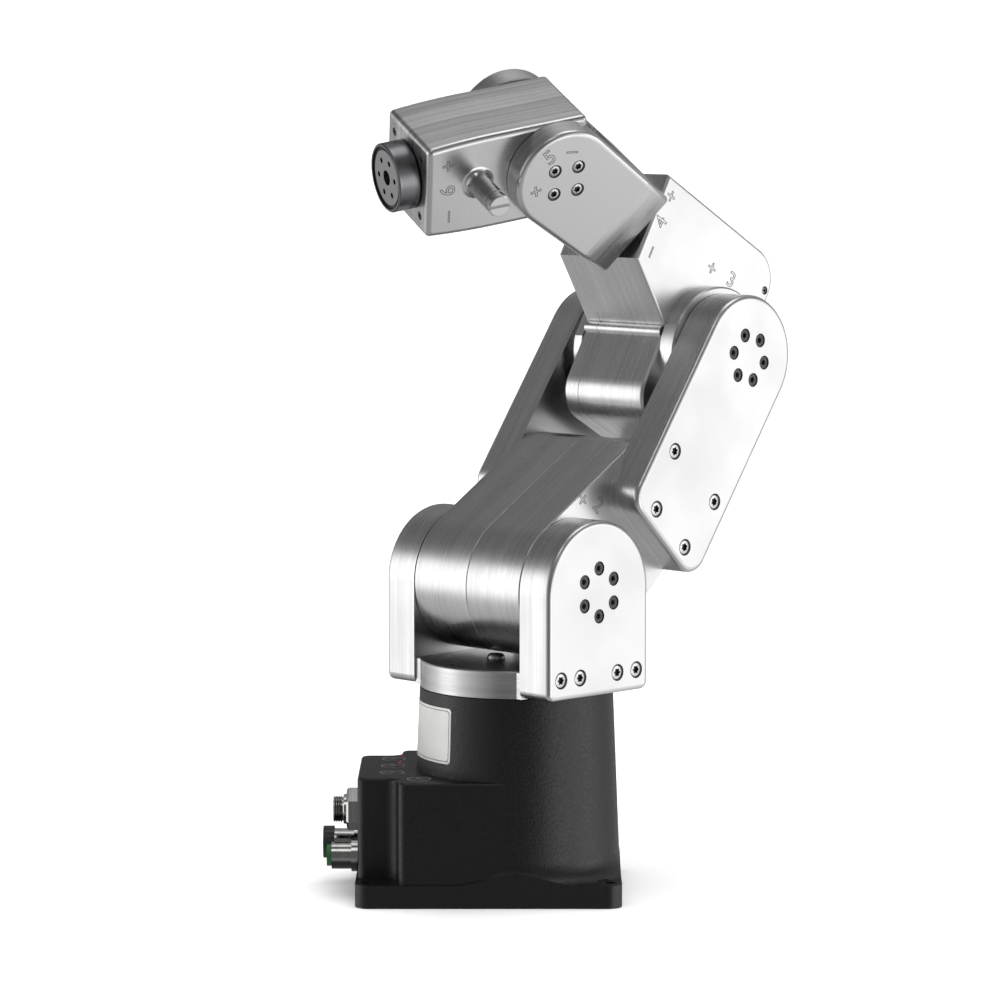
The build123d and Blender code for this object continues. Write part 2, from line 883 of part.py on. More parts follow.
# Forearm: a housing, a cover on its right with a round boss, and the ridge at the elbow
front_lip = ridge_reach - ridge_radius
boss_side = hub_half - side_play
FOREARM_NOSE = Plane(origin=(forearm_front, 0, elbow_rise), x_dir=(0, 1, 0), z_dir=(1, 0, 0))
wrist_spots = ring_spots(wrist_screw_circle, wrist_screw_count)
with BuildPart() as forearm_form:
    with BuildSketch(right_face(forearm_half_width)) as forearm_side:
        with BuildLine():
            Polyline(
                (forearm_front, forearm_top), (forearm_front, forearm_front_bottom),
                (elbow_front, forearm_slope_foot), (-forearm_rear, forearm_slope_foot),
                (-forearm_rear, forearm_top), close=True,
            )
        make_face()
        corners = forearm_side.vertices().sort_by(Axis.X)
        fillet(corners[:2].sort_by(Axis.Y)[-1], forearm_shoulder_radius)
        fillet(corners[-2:].sort_by(Axis.Y)[0], forearm_nose_round)
        Rectangle(2 * elbow_front, elbow_sole, align=(Align.CENTER, Align.MAX))
        fillet(forearm_side.vertices().group_by(Axis.Y)[0], forearm_sole_radius)
        Circle(elbow_front)
    extrude(amount=-2 * forearm_half_width)
    fillet(forearm_form.faces().filter_by(Axis.Y).edges(), forearm_edge)
    # Ridge across the front of the elbow
    with BuildSketch(right_face(forearm_half_width - ridge_end)):
        with Locations((front_lip, ridge_height)):
            Circle(ridge_radius)
    extrude(amount=-2 * (forearm_half_width - ridge_end))
    # Round bosses at the elbow, the right one stepped down to a neck
    with BuildSketch(right_face(-forearm_half_width)):
        Circle(boss_radius)
    extrude(amount=-(boss_side - forearm_half_width))
    with BuildSketch(right_face(forearm_half_width)):
        Circle(boss_radius)
        with Locations((elbow_front, 0)):
            Rectangle(
                2 * boss_radius, 2 * boss_radius,
                align=(Align.MIN, Align.CENTER), mode=Mode.SUBTRACT,
            )
    extrude(amount=right_boss_side - forearm_half_width)
    with BuildSketch(right_face(right_boss_side)):
        Circle(right_neck_radius)
    extrude(amount=boss_side - right_boss_side)
    rims = forearm_form.edges().filter_by(GeomType.CIRCLE).group_by(Axis.Y)
    chamfer(rims[0] + rims[-1], boss_edge)
    # Bores for the stubs, the elbow drive and the roll drive
    with BuildSketch(right_face(boss_side)):
        Circle(stub_radius + running_fit)
    extrude(amount=-2 * boss_side, mode=Mode.SUBTRACT)
    with BuildSketch(right_face(seam_side)):
        Circle(drive_radius)
    extrude(amount=-2 * seam_side, mode=Mode.SUBTRACT)
    with Locations(FOREARM_NOSE):
        Hole(roll_drive_radius, forearm_front - roll_drive_rear)
    for face, spot in ((right_face(forearm_half_width), forearm_screw), (
        -right_face(-forearm_half_width), (forearm_screw[0], -forearm_screw[1])
    )):
        with Locations(face):
            with Locations(spot):
                CounterSinkHole(small_shank, small_head, small_shank_length + drive_fit, 90)

with BuildPart() as cover_zone:
    with BuildSketch(right_face(seam_side)):
        with Locations((0, slab_top)):
            Rectangle(4 * boss_radius, 4 * boss_radius, align=(Align.CENTER, Align.MAX))
    extrude(amount=boss_side)
    with BuildSketch(right_face(forearm_half_width)):
        Circle(2 * boss_radius)
    extrude(amount=boss_side)

with BuildPart() as forearm_cover:
    add(forearm_form.part)
    add(cover_zone.part, mode=Mode.INTERSECT)
    seam = forearm_cover.faces().filter_by(Axis.Y).sort_by(Axis.Y)[-1]
    chamfer(seam.outer_wire().edges(), seam_depth, seam_bevel, reference=seam)
finish("forearm_cover", forearm_cover.part, ELBOW)

with BuildPart() as forearm_housing:
    add(forearm_form.part)
    add(cover_zone.part, mode=Mode.SUBTRACT)
finish("forearm_housing", forearm_housing.part, ELBOW)

with BuildPart() as elbow_drive:
    with BuildSketch(right_face(seam_side)):
        Circle(drive_radius - drive_fit)
    extrude(amount=-2 * seam_side)
finish("elbow_drive", elbow_drive.part, ELBOW)

forearm_screw_one = screw_set(small_screw, right_face(forearm_half_width), [forearm_screw])
finish("forearm_side_screws", both_sides(forearm_screw_one), ELBOW)

# Roll drive and the collar that holds it in the nose of the forearm
with BuildPart() as roll_drive:
    with BuildSketch(FOREARM_NOSE.offset(roll_drive_front - forearm_front)):
        Circle(roll_drive_radius - drive_fit)
    extrude(amount=-(roll_drive_front - roll_drive_rear))
finish("roll_drive", roll_drive.part, ELBOW)

with BuildPart() as roll_collar:
    with BuildSketch(FOREARM_NOSE):
        Circle(collar_radius)
    extrude(amount=collar_end - forearm_front)
    with BuildSketch(FOREARM_NOSE):
        Circle(roll_drive_radius - screw_fit)
    extrude(amount=-(forearm_front - roll_drive_front))
    with Locations(FOREARM_NOSE.offset(collar_end - forearm_front)):
        Hole(roll_shaft_radius + running_fit, collar_end)
finish("roll_collar", roll_collar.part, ELBOW)

# Wrist yoke: a block with a round eye either side of the wrist box
with BuildPart() as yoke:
    with BuildSketch(Plane.XZ):
        with BuildLine():
            Polyline(
                (0, yoke_eye_radius), (-yoke_rear, yoke_rear_height),
                (-yoke_rear, -yoke_rear_height), (0, -yoke_eye_radius), close=True,
            )
        make_face()
        Circle(yoke_eye_radius)
    extrude(amount=yoke_outer, both=True)
    with BuildSketch():
        with BuildLine() as yoke_plan:
            back = Line((-yoke_rear, 0), (-yoke_rear, yoke_rear_half))
            bend = TangentArc(
                (-yoke_shoulder, yoke_outer), back @ 1, tangent=(-1, -yoke_crease)
            )
            Polyline(bend @ 0, (yoke_eye_radius, yoke_outer), (yoke_eye_radius, 0))
            mirror(yoke_plan.line, about=Plane.XZ)
        make_face()
    extrude(amount=2 * yoke_eye_radius, both=True, mode=Mode.INTERSECT)
    upright = yoke.edges().filter_by(Axis.Z)
    creases = upright.filter_by(lambda e: abs(e.center().X + yoke_shoulder) < 1)
    tangencies = yoke.edges().filter_by(Axis.Y).filter_by(lambda e: e.center().X > -1)
    fillet(yoke.edges() - creases - tangencies, yoke_edge)
    with BuildSketch() as throat:
        with Locations((-yoke_throat, 0)):
            Rectangle(4 * yoke_eye_radius, 2 * yoke_inner, align=(Align.MIN, Align.CENTER))
        fillet(throat.vertices().group_by(Axis.X)[0], yoke_throat_corner)
    extrude(amount=2 * yoke_eye_radius, both=True, mode=Mode.SUBTRACT)
    for face in (right_face(yoke_outer), -right_face(-yoke_outer)):
        with Locations(face):
            with Locations(*wrist_spots):
                CounterSinkHole(wrist_shank, wrist_head, yoke_outer - yoke_inner, 90)
finish("wrist_yoke", yoke.part, WRIST)

with BuildPart() as roll_shaft:
    with BuildSketch(Plane.YZ.offset(-yoke_rear)):
        Circle(roll_shaft_radius)
    extrude(amount=-(collar_end - roll_drive_front))
finish("wrist_roll_shaft", roll_shaft.part, WRIST)

wrist_screw = flat_screw(wrist_head, wrist_shank, wrist_shank_length, head_gap)
arm_thickness = yoke_outer - yoke_inner
wrist_stub = stub(
    yoke_inner, wrist_stub_length, wrist_stub_radius, wrist_spots, wrist_shank,
    wrist_shank_length - arm_thickness + drive_fit,
)
finish("right_wrist_stub", wrist_stub, WRIST)
finish("left_wrist_stub", left_twin(wrist_stub), WRIST)
finish(
    "wrist_stub_screws",
    both_sides(screw_set(wrist_screw, right_face(yoke_outer), wrist_spots)),
    WRIST,
)

# Wrist box, its nose drawn in towards the tool
hand_half_width = yoke_inner - side_play
wrist_drive_half = hand_half_width - wrist_stub_length
HAND_NOSE = Plane.YZ.offset(hand_front)
LEFT_SIDE = Plane(origin=(post_x, hand_half_width, post_z), x_dir=(1, 0, 0), z_dir=(0, 1, 0))
with BuildPart() as hand:
    with BuildSketch(Plane.XZ):
        with BuildLine() as hand_side:
            back = Line((-hand_rear, 0), (-hand_rear, hand_half_height))
            roof = Line(back @ 1, (hand_nose_start, hand_half_height))
            nose = TangentArc(roof @ 1, (hand_front, hand_nose_height), tangent=roof % 1)
            Line(nose @ 1, (hand_front, 0))
            mirror(hand_side.line, about=Plane.XZ)
        make_face()
    extrude(amount=hand_half_width, both=True)
    rounded = hand.edges().filter_by(lambda e: abs(e.center().X - hand_nose_start) > 1)
    fillet(rounded, hand_edge)
    # Bores for the wrist stubs and drive, with a web for the drive to sit on
    with BuildSketch(right_face(hand_half_width)):
        Circle(wrist_stub_radius + running_fit)
    extrude(amount=-(hand_half_width + wrist_drive_half - wrist_drive_web), mode=Mode.SUBTRACT)
    with BuildSketch(right_face(-hand_half_width)):
        Circle(wrist_stub_radius + running_fit)
    extrude(amount=wrist_stub_length, mode=Mode.SUBTRACT)
    # Pocket for the tool drive and the seat of its cover
    with Locations(HAND_NOSE):
        Hole(tool_drive_radius, hand_front - tool_drive_rear)
    with BuildSketch(HAND_NOSE):
        RectangleRounded(hand_cover_side, hand_cover_side, hand_cover_corner)
    extrude(amount=-hand_cover_thickness, mode=Mode.SUBTRACT)
    with Locations(HAND_NOSE.offset(-hand_cover_thickness)):
        with GridLocations(hand_screw_spread, hand_screw_spread, 2, 2):
            Hole(small_shank, small_shank_length)
    with Locations(LEFT_SIDE):
        Hole(post_spigot, hand_cover_thickness)
finish("wrist_box", hand.part, HAND)

with BuildPart() as hand_cover:
    with BuildSketch(HAND_NOSE):
        RectangleRounded(
            hand_cover_side - 2 * drive_fit, hand_cover_side - 2 * drive_fit, hand_cover_corner
        )
    extrude(amount=-hand_cover_thickness)
    with Locations(HAND_NOSE):
        Hole(flange_shaft_radius + running_fit, hand_cover_thickness)
        with GridLocations(hand_screw_spread, hand_screw_spread, 2, 2):
            CounterSinkHole(small_shank, small_head, hand_cover_thickness, 90)
finish("wrist_box_cover", hand_cover.part, HAND)

with BuildPart() as cover_grid:
    with Locations(HAND_NOSE):
        with GridLocations(hand_screw_spread, hand_screw_spread, 2, 2):
            add(small_screw)
finish("wrist_box_screws", cover_grid.part, HAND)

with BuildPart() as wrist_drive:
    with BuildSketch(right_face(wrist_drive_half)):
        Circle(wrist_stub_radius - drive_fit)
    extrude(amount=-(2 * wrist_drive_half - wrist_drive_web))
finish("wrist_drive", wrist_drive.part, HAND)

tool_drive_front = hand_front - hand_cover_thickness
shaft_end = hand_front + side_play - flange_shaft_length
with BuildPart() as tool_drive:
    with BuildSketch(Plane.YZ.offset(tool_drive_front)):
        Circle(tool_drive_radius - drive_fit)
    extrude(amount=-(tool_drive_front - tool_drive_rear))
    with Locations(Plane.YZ.offset(tool_drive_front)):
        Hole(flange_shaft_radius + side_play, tool_drive_front - shaft_end + side_play)
finish("tool_drive", tool_drive.part, HAND)

# Air port on the left side of the wrist box, with its slotted plug
with BuildPart() as port:
    with BuildSketch(Plane.XZ):
        with BuildLine():
            Polyline(
                (post_spigot, 0), (post_flare_radius, 0), (post_flare_radius, post_groove),
            )
            flare = TangentArc(
                (post_radius, post_flare_length), (post_flare_radius, post_groove),
                tangent=(0, -1),
            )
            Polyline(flare @ 0, (post_radius, post_length), (post_spigot, post_length))
            Line((post_spigot, post_length), (post_spigot, 0))
        make_face()
    revolve(axis=Axis.Z)
finish("tool_port_post", port.part, Plane(hand_place * LEFT_SIDE.location))

with BuildPart() as plug:
    with BuildSketch(Plane.XY.offset(post_length)):
        Circle(post_radius - post_groove)
    extrude(amount=post_groove)
    with BuildSketch(Plane.XY.offset(post_length + post_groove)):
        Circle(post_radius)
    extrude(amount=post_cap_length - post_groove)
    chamfer(plug.edges().group_by(Axis.Z)[-1], post_groove)
    with BuildSketch(Plane.XY.offset(post_length)):
        Circle(post_spigot - screw_fit)
    extrude(amount=-post_length / 2)
    with BuildSketch(Plane.XY.offset(post_length + post_cap_length)):
        Rectangle(2 * post_radius, post_slot)
    extrude(amount=-post_slot, mode=Mode.SUBTRACT)
finish("tool_port_plug", plug.part, Plane(hand_place * LEFT_SIDE.location))

# Tool flange with its face plate
FLANGE = Plane(tool_place * Plane.YZ.location)
flange_length = flange_reach - hand_front - side_play
tool_spots = ring_spots(tool_hole_circle, tool_holes, 0)
with BuildPart() as flange:
    with BuildSketch():
        Circle(flange_radius)
    extrude(amount=-flange_length)
    chamfer(flange.edges(), post_groove)
    with BuildSketch(Plane.XY.offset(-flange_length)):
        Circle(flange_shaft_radius)
    extrude(amount=-flange_shaft_length)
    with BuildSketch():
        Circle(flange_ring)
    extrude(amount=-flange_ring_depth, mode=Mode.SUBTRACT)
    with Locations(Plane.XY):
        Hole(tool_bore, tool_bore_depth)
        with Locations(*tool_spots):
            Hole(tool_hole_radius, tool_hole_depth)
finish("tool_flange", flange.part, FLANGE)

with BuildPart() as face_plate:
    with BuildSketch(Plane.XY.offset(-face_plate_sink)):
        Circle(face_plate_radius)
    extrude(amount=face_plate_sink - flange_ring_depth)
    with Locations(Plane.XY.offset(-face_plate_sink)):
        Hole(tool_bore, flange_ring_depth)
        with Locations(*tool_spots):
            Hole(tool_hole_radius, flange_ring_depth)
finish("tool_face_plate", face_plate.part, FLANGE)
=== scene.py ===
import math

import bpy
from mathutils import Matrix, Vector


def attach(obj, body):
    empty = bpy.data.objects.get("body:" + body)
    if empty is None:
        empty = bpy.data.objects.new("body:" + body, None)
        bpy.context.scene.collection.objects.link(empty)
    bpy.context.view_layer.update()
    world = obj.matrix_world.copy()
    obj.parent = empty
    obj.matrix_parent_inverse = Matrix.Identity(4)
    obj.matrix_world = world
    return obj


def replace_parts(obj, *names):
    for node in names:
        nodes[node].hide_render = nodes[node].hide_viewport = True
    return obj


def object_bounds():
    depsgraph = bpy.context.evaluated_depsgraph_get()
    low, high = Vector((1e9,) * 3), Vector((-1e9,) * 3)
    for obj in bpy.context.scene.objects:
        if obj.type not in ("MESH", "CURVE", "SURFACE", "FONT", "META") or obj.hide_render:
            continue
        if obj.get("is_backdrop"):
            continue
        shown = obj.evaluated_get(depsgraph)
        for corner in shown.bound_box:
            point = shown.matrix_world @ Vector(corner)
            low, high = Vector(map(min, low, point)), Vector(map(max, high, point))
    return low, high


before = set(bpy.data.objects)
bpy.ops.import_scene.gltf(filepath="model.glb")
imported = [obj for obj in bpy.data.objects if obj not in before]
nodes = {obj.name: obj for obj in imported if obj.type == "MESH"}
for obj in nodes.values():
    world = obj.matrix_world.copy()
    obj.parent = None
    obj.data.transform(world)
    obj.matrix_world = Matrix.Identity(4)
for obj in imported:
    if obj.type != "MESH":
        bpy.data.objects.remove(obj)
cad_low, cad_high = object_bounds()

# Camera, fitted to the photograph
camera_place = (-0.00717, -1.80345, 0.36324)
camera_tilt = math.radians(90 - 6.087)
sensor_width = 36
photo_width = 1000
focal_pixels = 4177.28

# Frames of the links in the resting pose, matching the model
base_turn = math.radians(-135)
shoulder_bend = math.radians(-45)
elbow_bend = math.radians(15)
wrist_roll = math.radians(-30)
wrist_bend = math.radians(45)
tool_turn = math.radians(15)
shoulder_height = 0.135
upper_length = 0.135
elbow_rise = 0.038
forearm_length = 0.12
flange_reach = 0.0705

shoulder_frame = Matrix.Translation((0, 0, shoulder_height)) @ Matrix.Rotation(base_turn, 4, "Z")
upper_frame = shoulder_frame @ Matrix.Rotation(shoulder_bend, 4, "Y")
elbow_frame = (
    upper_frame @ Matrix.Translation((0, 0, upper_length)) @ Matrix.Rotation(elbow_bend, 4, "Y")
)
wrist_frame = (
    elbow_frame
    @ Matrix.Translation((forearm_length, 0, elbow_rise))
    @ Matrix.Rotation(wrist_roll, 4, "X")
)
hand_frame = wrist_frame @ Matrix.Rotation(wrist_bend, 4, "Y")
tool_frame = (
    hand_frame @ Matrix.Translation((flange_reach, 0, 0)) @ Matrix.Rotation(tool_turn, 4, "X")
)


# Material building blocks
def new_material(name):
    """An empty node material with its principled shader."""
    material = bpy.data.materials.new(name)
    material.use_nodes = True
    return material, material.node_tree, material.node_tree.nodes["Principled BSDF"]


def local_coordinates(tree, link_frame):
    """Texture coordinates along a link's own axes."""
    place = tree.nodes.new("ShaderNodeTexCoord")
    turn = tree.nodes.new("ShaderNodeMapping")
    turn.vector_type = "POINT"
    back = link_frame.inverted()
    turn.inputs["Location"].default_value = back.to_translation()
    turn.inputs["Rotation"].default_value = back.to_euler("XYZ")
    tree.links.new(place.outputs["Object"], turn.inputs["Vector"])
    return turn.outputs["Vector"]


def scaled(tree, vector, scale):
    """The vector stretched along its axes."""
    mapping = tree.nodes.new("ShaderNodeMapping")
    mapping.inputs["Scale"].default_value = scale
    tree.links.new(vector, mapping.inputs["Vector"])
    return mapping.outputs["Vector"]


def noise(tree, vector, scale, detail):
    """Noise value at a scale."""
    node = tree.nodes.new("ShaderNodeTexNoise")
    node.inputs["Scale"].default_value = scale
    node.inputs["Detail"].default_value = detail
    tree.links.new(vector, node.inputs["Vector"])
    return node.outputs["Fac"]


def spread(tree, value, low, high, low_from=0.3, high_from=0.7):
    """The value mapped from one range to another."""
    node = tree.nodes.new("ShaderNodeMapRange")
    node.interpolation_type = "SMOOTHSTEP"
    node.inputs["From Min"].default_value = low_from
    node.inputs["From Max"].default_value = high_from
    node.inputs["To Min"].default_value = low
    node.inputs["To Max"].default_value = high
    tree.links.new(value, node.inputs["Value"])
    return node.outputs["Result"]


def tint(tree, value, dark, light):
    """A colour between two colours."""
    node = tree.nodes.new("ShaderNodeMix")
    node.data_type = "RGBA"
    node.inputs["A"].default_value = (*dark, 1)
    node.inputs["B"].default_value = (*light, 1)
    tree.links.new(value, node.inputs["Factor"])
    return node.outputs["Result"]


def bump(tree, height, strength, distance):
    """Bump from a height value."""
    node = tree.nodes.new("ShaderNodeBump")
    node.inputs["Strength"].default_value = strength
    node.inputs["Distance"].default_value = distance
    tree.links.new(height, node.inputs["Height"])
    return node.outputs["Normal"]


def brushed(name, link_frame, tone, rough, contrast=0.8, painted_shade=None):
    """Brushed metal whose fine lines run square to the link's Y axis.

    Given a last argument, the tone falls, as painted shade, to a share of itself where the faces'
    lean, which is 1 on level tops and -1 on undersides, goes from one value to another."""
    material, tree, shader = new_material(name)
    shader.inputs["Metallic"].default_value = 1
    along = local_coordinates(tree, link_frame)
    fine_scale, band_scale, broad_scale = (18, 2600, 18), (5, 420, 5), (2, 90, 2)
    cloud_scale, grain_scale = 38, 1600
    line_rough, cloud_rough = 0.05, 0.025
    grain_strength, grain_depth = 0.04, 0.0001
    fine = noise(tree, scaled(tree, along, fine_scale), 1, 3)
    bands = noise(tree, scaled(tree, along, band_scale), 1, 2)
    cloud = noise(tree, along, cloud_scale, 3)
    broad = noise(tree, scaled(tree, along, broad_scale), 1, 3)
    mixed = tree.nodes.new("ShaderNodeMath")
    mixed.operation = "ADD"
    tree.links.new(spread(tree, bands, 0, 0.5), mixed.inputs[0])
    tree.links.new(spread(tree, broad, 0, 0.5), mixed.inputs[1])
    dark = tuple(contrast * c for c in tone)
    colour = tint(tree, mixed.outputs[0], dark, tone)
    # painted shade: faces darkened by how far they lean up or down
    if painted_shade:
        share, lean_start, lean_end = painted_shade
        upward = tree.nodes.new("ShaderNodeSeparateXYZ")
        normal = tree.nodes.new("ShaderNodeTexCoord").outputs["Normal"]
        tree.links.new(normal, upward.inputs["Vector"])
        shade = tree.nodes.new("ShaderNodeMix")
        shade.data_type = "RGBA"
        lean = spread(tree, upward.outputs["Z"], 0, 1, lean_start, lean_end)
        tree.links.new(lean, shade.inputs["Factor"])
        tree.links.new(colour, shade.inputs["A"])
        shade.inputs["B"].default_value = (*(share * c for c in tone), 1)
        colour = shade.outputs["Result"]
    tree.links.new(colour, shader.inputs["Base Color"])
    add = tree.nodes.new("ShaderNodeMath")
    add.operation = "ADD"
    tree.links.new(spread(tree, fine, rough - line_rough, rough + line_rough), add.inputs[0])
    tree.links.new(spread(tree, cloud, -cloud_rough, cloud_rough), add.inputs[1])
    tree.links.new(add.outputs[0], shader.inputs["Roughness"])
    grain = noise(tree, along, grain_scale, 2)
    tree.links.new(bump(tree, grain, grain_strength, grain_depth), shader.inputs["Normal"])
    return material


def moulded(name, tone, rough, grain=1400.0, strength=0.12):
    """Moulded plastic, rubber or paint with a fine grain."""
    material, tree, shader = new_material(name)
    shade, cloud_scale = 0.8, 30
    grain_rough, grain_depth = 0.06, 0.0004
    place = tree.nodes.new("ShaderNodeTexCoord").outputs["Object"]
    fine = noise(tree, place, grain, 2)
    cloud = noise(tree, place, cloud_scale, 3)
    dark = tuple(shade * c for c in tone)
    tree.links.new(tint(tree, spread(tree, cloud, 0, 1), dark, tone), shader.inputs["Base Color"])
    tree.links.new(
        spread(tree, fine, rough - grain_rough, rough + grain_rough), shader.inputs["Roughness"]
    )
    tree.links.new(bump(tree, fine, strength, grain_depth), shader.inputs["Normal"])
    return material


def dress(material, *names):
    """Gives CAD nodes a material."""
    for name in names:
        mesh = nodes[name].data
        mesh.materials.clear()
        mesh.materials.append(material)


aluminium = (0.66, 0.66, 0.665)
arm_metal = brushed("arm_brushed", upper_frame, aluminium, 0.3)
yoke_metal = brushed("yoke_brushed", wrist_frame, aluminium, 0.3)
box_metal = brushed("box_brushed", hand_frame, aluminium, 0.3, contrast=0.55)
# The turntable's level top is drawn at 35 per cent of the tone: painted shade.
table_metal = brushed(
    "turntable_brushed", Matrix.Rotation(math.radians(90), 4, "X"), aluminium, 0.3,
    painted_shade=(0.35, 0.9, 0.99),
)
cover_metal = brushed("cover_brushed", shoulder_frame, (0.45, 0.45, 0.46), 0.4)
stub_metal = brushed("stub_turned", upper_frame, (0.5, 0.5, 0.51), 0.3)
flange_metal = brushed(
    "flange_turned", hand_frame @ Matrix.Rotation(math.radians(90), 4, "Z"), (0.2, 0.2, 0.21), 0.3
)
plate_metal = brushed(
    "face_plate_turned", hand_frame @ Matrix.Rotation(math.radians(90), 4, "Z"),
    (0.4, 0.4, 0.41), 0.32,
)
post_metal = brushed("post_turned", hand_frame, aluminium, 0.22)
# Connector undersides are drawn at 8 per cent of the tone: painted shade under the shells.
nickel = brushed(
    "nickel_plate", Matrix.Rotation(math.radians(90), 4, "Z"), (0.5, 0.5, 0.49), 0.12,
    painted_shade=(0.08, -0.05, -0.35),
)
black_oxide = moulded("black_oxide", (0.03, 0.03, 0.032), 0.38)
head_steel = brushed("screw_head_steel", upper_frame, (0.62, 0.62, 0.62), 0.3)
base_paint = moulded("base_paint", (0.0035, 0.0035, 0.0037), 0.4, 800.0, 0.3)
drive_metal = brushed("drive_metal", upper_frame, (0.3, 0.3, 0.31), 0.4)
black_plastic = moulded("black_plastic", (0.02, 0.02, 0.02), 0.45)
green_rubber = moulded("green_rubber", (0.01, 0.1, 0.02), 0.5)
button_rubber = moulded("button_rubber", (0.03, 0.03, 0.032), 0.6)
lamp_lens = moulded("lamp_lens", (0.6, 0.05, 0.03), 0.25)
board_green = moulded("board_green", (0.02, 0.16, 0.06), 0.4)

dress(base_paint, "base_casting")
dress(cover_metal, "base_bottom_cover", "turntable_stop")
dress(table_metal, "turntable", "turntable_spindle")
dress(
    arm_metal,
    "right_shoulder_plate", "left_shoulder_plate", "right_upper_arm_half", "left_upper_arm_half",
    "right_arm_plate", "left_arm_plate", "forearm_housing", "forearm_cover",
)
dress(yoke_metal, "wrist_yoke")
dress(box_metal, "wrist_box", "wrist_box_cover")
dress(
    stub_metal,
    "right_shoulder_stub", "left_shoulder_stub", "right_elbow_stub", "left_elbow_stub",
    "right_wrist_stub", "left_wrist_stub", "wrist_roll_shaft",
)
dress(flange_metal, "tool_flange", "roll_collar")
dress(plate_metal, "tool_face_plate")
dress(post_metal, "tool_port_plug")
dress(black_oxide, "shoulder_stub_screws", "elbow_stub_screws", "bottom_cover_screws")
dress(
    drive_metal, "base_drive", "shoulder_drive", "elbow_drive", "roll_drive", "wrist_drive",
    "tool_drive",
)
dress(nickel, "power_connector_nut", "right_network_shell", "left_network_shell")
dress(
    black_plastic, "power_connector_insert", "right_network_insert", "left_network_insert",
    "left_network_cap",
)
dress(green_rubber, "right_network_seal")
dress(button_rubber, *[f"panel_button_{number}" for number in range(1, 5)])
dress(lamp_lens, "panel_lamps")
dress(board_green, "controller_board")


# Small forms added to the solids
millimetre = 0.001
sharp_angle = math.radians(35)


def keep(name, mesh, place, material, body):
    """Makes a scene piece that rides on a body."""
    mesh.materials.append(material)
    piece = bpy.data.objects.new(name, mesh)
    bpy.context.scene.collection.objects.link(piece)
    piece.matrix_world = place
    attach(piece, body)
    return piece


def lathe_mesh(name, profile, places):
    """A closed profile of radius and height in millimetres, turned round Z at each place."""
    points, faces = [], []
    count, steps = len(profile), 40
    for place in places:
        first = len(points)
        for step in range(steps):
            turn = 2 * math.pi * step / steps
            for radius, height in profile:
                spot = Vector((radius * math.cos(turn), radius * math.sin(turn), height))
                points.append(place @ (spot * millimetre))
        for step in range(steps):
            here, there = first + step * count, first + (step + 1) % steps * count
            for i in range(count):
                j = (i + 1) % count
                faces.append((here + i, there + i, there + j, here + j))
    mesh = bpy.data.meshes.new(name)
    mesh.from_pydata(points, [], faces)
    mesh.update()
    mesh.shade_smooth()
    mesh.set_sharp_from_angle(angle=sharp_angle)
    return mesh


def side_place(link_frame, x, side, z, turn=0.0):
    """Place on a link's left (side above 0) or right face, with Z out of it, Y up and X along."""
    out = 1 if side > 0 else -1
    axes = Matrix(((-out, 0, 0, 0), (0, 0, out, 0), (0, 1, 0, 0), (0, 0, 0, 1)))
    spot = Matrix.Translation(Vector((x, side, z)) * millimetre)
    return link_frame @ spot @ axes @ Matrix.Rotation(math.radians(turn), 4, "Z")


def flat_screws(name, places, head, shank, length, body):
    """Countersunk screws with a six-lobed socket, each ring a radius, a height and its lobes."""
    steps, lobe_count, lobe_share = 48, 6, 0.14
    sink, socket, socket_floor, middle = 0.3, 0.45 * head, -1.5, 0.02
    rings = [
        (middle, socket_floor, 0), (socket, socket_floor, lobe_share), (socket, -sink, lobe_share),
        (head - 1.0, -sink, 0), (head - 0.72, -sink - 0.18, 0), (shank, shank - head - 0.1, 0),
        (shank, -length, 0), (middle, -length, 0),
    ]
    socket_rings = 2
    points, faces, inner = [], [], []
    for place in places:
        first = len(points)
        for radius, height, lobes in rings:
            for step in range(steps):
                turn = 2 * math.pi * step / steps
                reach = radius * (1 + lobes * math.cos(lobe_count * turn))
                spot = Vector((reach * math.cos(turn), reach * math.sin(turn), height))
                points.append(place @ (spot * millimetre))
        for ring in range(len(rings) - 1):
            low, high = first + ring * steps, first + (ring + 1) * steps
            for step in range(steps):
                there = (step + 1) % steps
                faces.append((low + step, high + step, high + there, low + there))
                inner.append(ring < socket_rings)
    mesh = bpy.data.meshes.new(name)
    mesh.from_pydata(points, [], faces)
    mesh.update()
    mesh.shade_smooth()
    mesh.set_sharp_from_angle(angle=sharp_angle)
    piece = keep(name, mesh, Matrix(), head_steel, body)
    # The socket's walls and floor take the near-black gap material: painted shade in the recess.
    mesh.materials.append(painted_gap_shade)
    for face, is_inner in zip(mesh.polygons, inner):
        face.material_index = int(is_inner)
    return piece


def both_sides(link_frame, side, spots):
    """Places on the right and the left face of a link."""
    return [side_place(link_frame, x, out * side, z) for out in (-1, 1) for x, z in spots]


def countersink_shade_rings(name, places, head, body):
    """Near-black rings in the gap round the heads of countersunk screws: painted shade in the gap."""
    profile = [(head - 0.58, -0.48), (head - 0.02, 0.01), (head - 0.12, 0.01), (head - 0.6, -0.3)]
    keep(name, lathe_mesh(name, profile, places), Matrix(), painted_gap_shade, body)


def outlined(name, text, place, size, material, body):
    """Characters drawn as a fine outline on a face."""
    line_radius = 0.15
    curve = bpy.data.curves.new(name, "FONT")
    curve.body = text
    curve.size = size * millimetre
    curve.align_x = "CENTER"
    curve.align_y = "CENTER"
    curve.fill_mode = "NONE"
    curve.bevel_depth = line_radius * millimetre
    curve.bevel_resolution = 1
    holder = bpy.data.objects.new(name, curve)
    bpy.context.scene.collection.objects.link(holder)
    bpy.context.view_layer.update()
    shape = holder.evaluated_get(bpy.context.evaluated_depsgraph_get())
    mesh = bpy.data.meshes.new_from_object(shape)
    mesh.name = name
    bpy.data.objects.remove(holder)
    keep(name, mesh, place, material, body)


